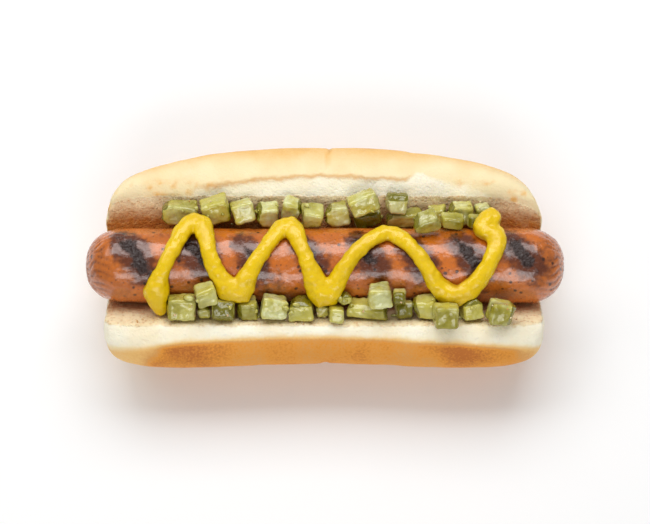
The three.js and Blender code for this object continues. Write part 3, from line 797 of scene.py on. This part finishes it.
class HOTDOG_OT_sausage(bpy.types.Operator):
    """Shapes and grills the sausage: folded tips, blistered casing and grill marks"""

    bl_idname = "hotdog.sausage"
    bl_label = "Sausage"

    def execute(self, context):
        settings = context.scene.hotdog_sausage
        link = copy_of("sausage", "grilled_sausage")
        even_mesh(link, settings)
        points = points_of(link)
        along = points[:, 0]
        across = points[:, 1] - AXIS.y
        up = points[:, 2] - AXIS.z
        turn = np.arctan2(across, up)
        radius = (SAUSAGE_HIGH.z - SAUSAGE_LOW.z) / 2
        from_tip = (SAUSAGE_HIGH.x - SAUSAGE_LOW.x) / 2 - np.abs(along)
        near_tip = ease(13 * MM, 2.5 * MM, from_tip)

        twist = 0.35 * lumps(points, 9 * MM, 21)
        fold = 1 - np.abs(np.cos((turn + twist) * settings.folds / 2))
        folds = -0.42 * near_tip * fold**2 + 0.12 * near_tip
        dimple = -0.7 * np.exp(-((np.hypot(across, up) / (1.6 * MM)) ** 2)) * near_tip
        char = charring(along, turn * radius, settings)
        char = np.clip(char + 0.5 * lumps(points, 3.4 * MM, 22, 3), UNBURNT, 1.1)
        sunk = ease(0.35, 0.9, char) * (0.25 - 0.35 * lumps(points, 1.6 * MM, 26))
        casing = lumps(points, 14 * MM, 23) * 0.28 + lumps(points, 4.5 * MM, 24) * 0.14
        casing += lumps(points, 2 * MM, 28, 1) * 0.045
        blisters = np.maximum(0, lumps(points, 3 * MM, 25, 1) - 0.25) * 0.35
        push(link, (casing * ease(1 * MM, 9 * MM, from_tip) + blisters + folds + dimple - sunk) * MM)

        # Partly less browned casing, partly a painted reflection of the front lamp on the front and lower
        # side.
        low_side = ease(-0.45, -1.2, turn) * ease(0.4, -0.4, np.abs(turn) - math.pi)
        paint(link, "char", char)
        # Painted shade for the troughs of the tip folds.
        paint(link, "folded", near_tip * fold**2)
        paint(link, "rosy", np.clip(0.25 + 0.6 * low_side + 0.3 * lumps(points, 20 * MM, 27), 0, 1))
        dress(link, sausage_material(settings), "sausage", "sausage")
        return {"FINISHED"}


class HOTDOG_OT_mustard(bpy.types.Operator):
    """Lays the zigzag of mustard, softened as it settles"""

    bl_idname = "hotdog.mustard"
    bl_label = "Mustard"

    def execute(self, context):
        settings = context.scene.hotdog_mustard
        bead = copy_of("mustard", "mustard_zigzag")
        even_mesh(bead, settings)
        points = points_of(bead)
        push(bead, (0.12 + lumps(points, 4 * MM, 31) * 0.36 + lumps(points, 1.8 * MM, 32, 1) * 0.2) * MM)
        points = points_of(bead)
        normals = normals_of(bead)
        outwards = points * [0, 1, 1] - [0, AXIS.y, AXIS.z]
        outwards /= np.linalg.norm(outwards, axis=1)[:, None]
        facing = np.sum(normals * outwards, axis=1)
        # Painted shade: how far each point faces back towards the sausage, on the bead's sides and
        # underside.
        paint(bead, "edge", ease(0.6, -0.1, facing))
        dress(bead, mustard_material(settings), "mustard", "mustard")
        return {"FINISHED"}


def skin_direction(node):
    """The way that a piece's skin faces, or None where it has no skin."""
    side, skins = (1, DOME_SIDE_SKINS) if "dome" in node else (-1, FLAT_SIDE_SKINS)
    along_face = Vector((0, side * FACE_RUN, FACE_CLIMB))
    off_face = Vector((0, -side * FACE_CLIMB, FACE_RUN))
    ways = {"left": Vector((-1, 0, 0)), "right": Vector((1, 0, 0)), "up": along_face, "off": off_face}
    for way, numbers in skins.items():
        if int(node[-2:]) in numbers:
            return ways[way]
    return None


def skin_share(piece, node, offset):
    """How much of each point of a piece is skin, from 0 to 1, before its surface is made uneven."""
    way = skin_direction(node)
    if way is None:
        return np.zeros(len(offset))
    facing = normals_of(piece) @ np.array(way)
    outwards = offset @ np.array(way)
    return ease(0.25, 0.6, facing) * ease(0.3, 0.6, outwards / np.abs(outwards).max())


class HOTDOG_OT_pickles(bpy.types.Operator):
    """Cuts the pickle dice: blunt wet edges, glassy hearts, painted light and shade, and knobbly skin"""

    bl_idname = "hotdog.pickles"
    bl_label = "Diced pickle"

    def execute(self, context):
        settings = context.scene.hotdog_pickle
        material = pickle_material(settings)
        draw = random.Random(settings.seed)
        nodes = sorted(name for name in frame["nodes"] if name.startswith("pickle"))
        for number, node in enumerate(nodes):
            piece = copy_of(node, "diced_" + node)
            even_mesh(piece, settings)
            self.shape_and_paint(piece, node, 50 + number, draw)
            dress(piece, material, "pickle", node)
        return {"FINISHED"}

    def shape_and_paint(self, piece, node, seed, draw):
        middle = points_of(piece).mean(axis=0)
        offset = points_of(piece) - middle
        reach = np.abs(offset).max()
        taper = [draw.uniform(-0.2, 0.2) for _ in range(3)]
        points = middle + offset * (1 + (offset / reach)[:, [1, 2, 0]] * taper)
        move_points(piece, points)
        offset = points - middle
        skin = skin_share(piece, node, offset)
        uneven = lumps(points, 3.2 * MM, seed) * 0.32 + lumps(points, 1.2 * MM, seed + 0.5, 2) * 0.09
        knobs = skin * np.maximum(0, lumps(points, 1.7 * MM, seed + 0.2, 1)) * 0.55
        push(piece, (uneven + knobs + 0.1) * MM)

        glassiness = draw.uniform(-0.3, 0.4)
        heart_way = Vector((draw.uniform(-1, 1), draw.uniform(-1, 1), draw.uniform(-1, 1))).normalized()
        towards_heart = 0.7 * ease(-0.2, 0.7, offset @ np.array(heart_way) / reach)
        # Painted light and shade: faces that look up are painted paler, the lower part of each piece darker.
        lit_from_above = 0.35 * ease(-0.2, 0.8, normals_of(piece)[:, 2])
        underneath = 0.45 * ease(0.2, -0.8, offset[:, 2] / reach)
        glassy = 0.1 + glassiness - lit_from_above + underneath + towards_heart
        glassy += 0.3 * lumps(points, 2 * MM, seed + 0.7)
        paint(piece, "skin", skin)
        paint(piece, "heart", np.clip(glassy, 0, 1))
        paint(piece, "ripe", np.full(len(points), draw.uniform(0.1, 1.4)))


class HOTDOG_OT_bits(bpy.types.Operator):
    """Scatters shreds of pickle and crumbs of bread along the filling"""

    bl_idname = "hotdog.bits"
    bl_label = "Shreds and crumbs"

    def execute(self, context):
        settings = context.scene.hotdog_bits
        self.draw_lots = random.Random(settings.seed)
        self.surfaces = self.find_surfaces(context)
        spots = [(x * MM, across * MM, size * MM) for x, across, size in SHREDS]
        for _ in range(settings.shreds):
            side = self.draw_lots.choice((-1, 1))
            across = side * self.draw_lots.uniform(14.5, 20) * MM
            size = self.draw_lots.uniform(0.6, 1.2) * MM
            spots.append((self.draw_lots.uniform(-50, 56) * MM, across, size))
        shreds = self.scatter("pickle_shreds", spots, 0.75)
        count = len(shreds.data.vertices)
        paint(shreds, "skin", np.zeros(count))
        paint(shreds, "heart", np.clip(0.3 + lumps(points_of(shreds), 6 * MM, 61), 0, 1))
        paint(shreds, "ripe", np.full(count, 0.7))
        dress(shreds, bpy.data.materials["Pickle"], "pickle")

        spots = []
        for _ in range(settings.crumbs):
            side = self.draw_lots.choice((-1, -1, 1))
            across = side * self.draw_lots.uniform(17, 23) * MM
            size = self.draw_lots.uniform(0.35, 0.8) * MM
            spots.append((self.draw_lots.uniform(-66, 68) * MM, across, size))
        crumbs = self.scatter("bread_crumbs", spots, 0.9)
        count = len(crumbs.data.vertices)
        paint(crumbs, "cut", np.ones(count))
        for name in ("torn", "bake", "rim"):
            paint(crumbs, name, np.zeros(count))
        paint(crumbs, "toasting", np.clip(0.35 + lumps(points_of(crumbs), 6 * MM, 62), 0, 1))
        dress(crumbs, bpy.data.materials["Bread"], "bread")
        return {"FINISHED"}

    def find_surfaces(self, context):
        """A search tree for each finished piece, the mustard too, because nothing may lie on that."""
        depsgraph = context.evaluated_depsgraph_get()
        finished = ("baked_bun", "grilled_sausage", "mustard_zigzag", "diced_pickle")
        pieces = [piece for piece in context.scene.objects if piece.name.startswith(finished)]
        return {piece.name: BVHTree.FromObject(piece, depsgraph) for piece in pieces}

    def top_at(self, along, across):
        """The highest surface over a place: its point, its normal and its piece's name."""
        start = Vector((along, AXIS.y + across, 0.2))
        best = None
        for name, tree in self.surfaces.items():
            point, normal, _, _ = tree.ray_cast(start, Vector((0, 0, -1)))
            if point is not None and (best is None or point.z > best[0].z):
                best = (point, normal, name)
        return best

    def scatter(self, name, spots, flatness):
        """Lays one uneven bit at each spot and joins them in one piece."""
        bits = []
        for number, (along, across, size) in enumerate(spots):
            found = self.top_at(along, across)
            if found is None or found[2] == "mustard_zigzag":
                continue
            point, normal, _ = found
            bpy.ops.object.select_all(action="DESELECT")
            bpy.ops.mesh.primitive_ico_sphere_add(subdivisions=2, radius=size / 2, location=(0, 0, 0))
            bit = bpy.context.active_object
            shape = points_of(bit)
            shape *= np.array([self.draw_lots.uniform(0.8, 1.5), self.draw_lots.uniform(0.7, 1.1), flatness])
            uneven = 1 + 0.35 * lumps(shape + number * 0.01, size * 0.45, 60, 1)
            turn = np.array(Vector((0, 0, 1)).rotation_difference(normal).to_matrix())
            spin = np.array(Matrix.Rotation(self.draw_lots.uniform(0, math.tau), 3, "Z"))
            shape = (shape * uneven[:, None]) @ spin.T @ turn.T
            move_points(bit, shape + np.array(point + normal * size * 0.3))
            bits.append(bit)
        pick(*bits)
        bpy.ops.object.join()
        heap = bpy.context.active_object
        heap.name = heap.data.name = name
        return heap


class HOTDOG_OT_stage(bpy.types.Operator):
    """Sets out the plain floor, the soft lights and the camera"""

    bl_idname = "hotdog.stage"
    bl_label = "Floor, lights and camera"

    def execute(self, context):
        settings = context.scene.hotdog_stage
        bpy.ops.object.select_all(action="DESELECT")
        bpy.ops.mesh.primitive_plane_add(size=settings.floor_size, location=(0, 0, 0))
        floor = context.active_object
        floor.name = "floor"
        material, wiring, place, shader = new_material("Plain floor")
        tone = wiring.group(1, blotches(), place=place, scale=0.6, contrast=0.4)
        shade = tuple(value * 0.985 for value in settings.floor)
        wiring.feed(shader.inputs["Base Color"], wiring.blend(2, tone, tuple(settings.floor), shade))
        shader.inputs["Roughness"].default_value = 0.9
        shader.inputs["Specular IOR Level"].default_value = 0.1
        floor.data.materials.append(material)

        world = bpy.data.worlds.new("Studio")
        context.scene.world = world
        world.use_nodes = True
        background = world.node_tree.nodes["Background"]
        background.inputs["Color"].default_value = (1, 1, 1, 1)
        background.inputs["Strength"].default_value = settings.daylight

        target = Vector((0, AXIS.y, AXIS.z))
        for name, elevation, heading, distance, size, power in LAMPS:
            self.lamp(name, target, elevation, heading, distance, size, power)
        self.camera(context, settings, target)
        context.scene.view_settings.view_transform = "Standard"
        return {"FINISHED"}

    def lamp(self, name, target, elevation, heading, distance, size, power):
        """A soft rectangular lamp that faces the target."""
        data = bpy.data.lights.new(name, "AREA")
        data.shape = "RECTANGLE"
        data.size, data.size_y = size
        data.energy = power
        lamp = bpy.data.objects.new(name, data)
        bpy.context.scene.collection.objects.link(lamp)
        rise, round_about = math.radians(elevation), math.radians(heading)
        way = Vector(
            (math.sin(round_about) * math.cos(rise), math.cos(round_about) * math.cos(rise), math.sin(rise))
        )
        lamp.location = target + way * distance
        lamp.rotation_mode = "QUATERNION"
        lamp.rotation_quaternion = way.to_track_quat("Z", "Y")

    def camera(self, context, settings, target):
        """The camera, as steep and as far off as the settings say, with the hot dog in its middle."""
        data = bpy.data.cameras.new("camera")
        data.lens = settings.lens
        data.clip_start, data.clip_end = 0.05, 20
        camera = bpy.data.objects.new("camera", data)
        context.scene.collection.objects.link(camera)
        look_down = settings.elevation
        back = Vector((0, -math.cos(look_down), math.sin(look_down)))
        picture_up = Vector((0, math.sin(look_down), math.cos(look_down)))
        distance = settings.span / 2 / (data.sensor_width / 2 / data.lens)
        camera.location = target + picture_up * ABOVE_MIDDLE + back * distance
        camera.rotation_mode = "QUATERNION"
        camera.rotation_quaternion = back.to_track_quat("Z", "Y")
        context.scene.camera = camera


class HOTDOG_PT_pieces(bpy.types.Panel):
    """Lists the pieces of the hot dog"""

    bl_label = "Hot dog"
    bl_idname = "HOTDOG_PT_pieces"
    bl_space_type = "VIEW_3D"
    bl_region_type = "UI"
    bl_category = "Hot dog"

    def draw(self, context):
        for operator in OPERATORS:
            self.layout.operator(operator.bl_idname)


OPERATORS = (
    HOTDOG_OT_bun,
    HOTDOG_OT_sausage,
    HOTDOG_OT_mustard,
    HOTDOG_OT_pickles,
    HOTDOG_OT_bits,
    HOTDOG_OT_stage,
)
SETTINGS = {
    "hotdog_bun": BunSettings,
    "hotdog_sausage": SausageSettings,
    "hotdog_mustard": MustardSettings,
    "hotdog_pickle": PickleSettings,
    "hotdog_bits": BitSettings,
    "hotdog_stage": StageSettings,
}


def register():
    for group in SETTINGS.values():
        bpy.utils.register_class(group)
    for name, group in SETTINGS.items():
        setattr(bpy.types.Scene, name, PointerProperty(type=group))
    for operator in OPERATORS:
        bpy.utils.register_class(operator)
    bpy.utils.register_class(HOTDOG_PT_pieces)


def unregister():
    bpy.utils.unregister_class(HOTDOG_PT_pieces)
    for operator in reversed(OPERATORS):
        bpy.utils.unregister_class(operator)
    for name in SETTINGS:
        delattr(bpy.types.Scene, name)
    for group in SETTINGS.values():
        bpy.utils.unregister_class(group)


def main():
    register()
    bpy.ops.hotdog.bun()
    bpy.ops.hotdog.sausage()
    bpy.ops.hotdog.mustard()
    bpy.ops.hotdog.pickles()
    bpy.ops.hotdog.bits()
    bpy.ops.hotdog.stage()


if __name__ == "__main__":
    main()
